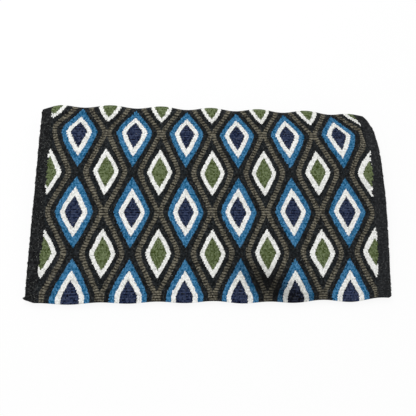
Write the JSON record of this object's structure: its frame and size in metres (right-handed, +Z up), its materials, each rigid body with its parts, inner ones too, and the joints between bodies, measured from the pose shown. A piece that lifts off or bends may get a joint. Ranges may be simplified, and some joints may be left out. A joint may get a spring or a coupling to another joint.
{
  "type": "saddle blanket",
  "caption": "Flat-woven wool saddle blanket folded once, with nested lozenges, rounded chains between them and plain dark end bands.",
  "frame": {"origin": "centre of the folded blanket on the floor, under the middle of its bounding box", "axes": "+X along the fold and the warps, towards the right end band; +Y from the free edges back to the fold; +Z up, from the lower leaf to the upper leaf"},
  "size_m": [0.864, 0.4984, 0.0486],
  "materials": {
    "black_wool": "matt woven wool",
    "brown_wool": "matt woven wool, brown and black picks by turns",
    "blue_wool": "matt woven wool, blue round white round navy",
    "green_wool": "matt woven wool, white round green"
  },
  "bodies": {
    "lower_leaf": {"lower_ground": "black_wool", "lower_left_end_band": "black_wool", "lower_right_end_band": "black_wool", "lower_selvedge_cord": "black_wool"},
    "fold_rib_01": {"fold_rib_01": "black_wool"},
    "fold_rib_02": {"fold_rib_02": "black_wool"},
    "fold_rib_03": {"fold_rib_03": "black_wool"},
    "fold_rib_04": {"fold_rib_04": "black_wool"},
    "fold_rib_05": {"fold_rib_05": "black_wool"},
    "fold_rib_06": {"fold_rib_06": "black_wool"},
    "upper_leaf": {"upper_blue_nest_1_1": "blue_wool", "upper_blue_nest_1_2": "blue_wool", "upper_blue_nest_1_3": "blue_wool", "upper_blue_nest_1_4": "blue_wool", "upper_blue_nest_1_5": "blue_wool", "upper_blue_nest_1_6": "blue_wool", "upper_blue_nest_2_1": "blue_wool", "upper_blue_nest_2_2": "blue_wool", "upper_blue_nest_2_3": "blue_wool", "upper_blue_nest_2_4": "blue_wool", "upper_blue_nest_2_5": "blue_wool", "upper_blue_nest_2_6": "blue_wool", "upper_blue_nest_3_1": "blue_wool", "upper_blue_nest_3_2": "blue_wool", "upper_blue_nest_3_3": "blue_wool", "upper_blue_nest_3_4": "blue_wool", "upper_blue_nest_3_5": "blue_wool", "upper_blue_nest_3_6": "blue_wool", "upper_chain_1": "brown_wool", "upper_chain_2": "brown_wool", "upper_chain_3": "brown_wool", "upper_chain_4": "brown_wool", "upper_chain_5": "brown_wool", "upper_chain_6": "brown_wool", "upper_chain_7": "brown_wool", "upper_green_nest_1_1": "green_wool", "upper_green_nest_1_2": "green_wool", "upper_green_nest_1_3": "green_wool", "upper_green_nest_1_4": "green_wool", "upper_green_nest_1_5": "green_wool", "upper_green_nest_1_6": "green_wool", "upper_green_nest_1_7": "green_wool", "upper_green_nest_2_1": "green_wool", "upper_green_nest_2_2": "green_wool", "upper_green_nest_2_3": "green_wool", "upper_green_nest_2_4": "green_wool", "upper_green_nest_2_5": "green_wool", "upper_green_nest_2_6": "green_wool", "upper_green_nest_2_7": "green_wool", "upper_ground": "black_wool", "upper_left_end_band": "black_wool", "upper_right_end_band": "black_wool", "upper_selvedge_cord": "black_wool"}
  },
  "joints": [
    {"name": "fold_bend_01", "type": "hinge", "parent": "lower_leaf", "child": "fold_rib_01", "pos_m": [0, 0.22972, 0.00325], "axis": [-1, 0, 0], "range_deg": [0, 26.3]},
    {"name": "fold_bend_02", "type": "hinge", "parent": "fold_rib_01", "child": "fold_rib_02", "pos_m": [0, 0.2385, 0.00759], "axis": [-1, 0, 0], "range_deg": [0, 26.3]},
    {"name": "fold_bend_03", "type": "hinge", "parent": "fold_rib_02", "child": "fold_rib_03", "pos_m": [0, 0.24445, 0.01538], "axis": [-1, 0, 0], "range_deg": [0, 26.3]},
    {"name": "fold_bend_04", "type": "hinge", "parent": "fold_rib_03", "child": "fold_rib_04", "pos_m": [0, 0.24633, 0.025], "axis": [-1, 0, 0], "range_deg": [0, 26.3]},
    {"name": "fold_bend_05", "type": "hinge", "parent": "fold_rib_04", "child": "fold_rib_05", "pos_m": [0, 0.24376, 0.03445], "axis": [-1, 0, 0], "range_deg": [0, 26.3]},
    {"name": "fold_bend_06", "type": "hinge", "parent": "fold_rib_05", "child": "fold_rib_06", "pos_m": [0, 0.23726, 0.04179], "axis": [-1, 0, 0], "range_deg": [0, 26.3]},
    {"name": "unfold", "type": "hinge", "parent": "fold_rib_06", "child": "upper_leaf", "pos_m": [0, 0.22818, 0.04548], "axis": [-1, 0, 0], "range_deg": [0, 26.3]}
  ],
  "couplings": [
    {"joint": "fold_bend_01", "follows": "unfold", "ratio": 1},
    {"joint": "fold_bend_02", "follows": "unfold", "ratio": 1},
    {"joint": "fold_bend_03", "follows": "unfold", "ratio": 1},
    {"joint": "fold_bend_04", "follows": "unfold", "ratio": 1},
    {"joint": "fold_bend_05", "follows": "unfold", "ratio": 1},
    {"joint": "fold_bend_06", "follows": "unfold", "ratio": 1}
  ]
}
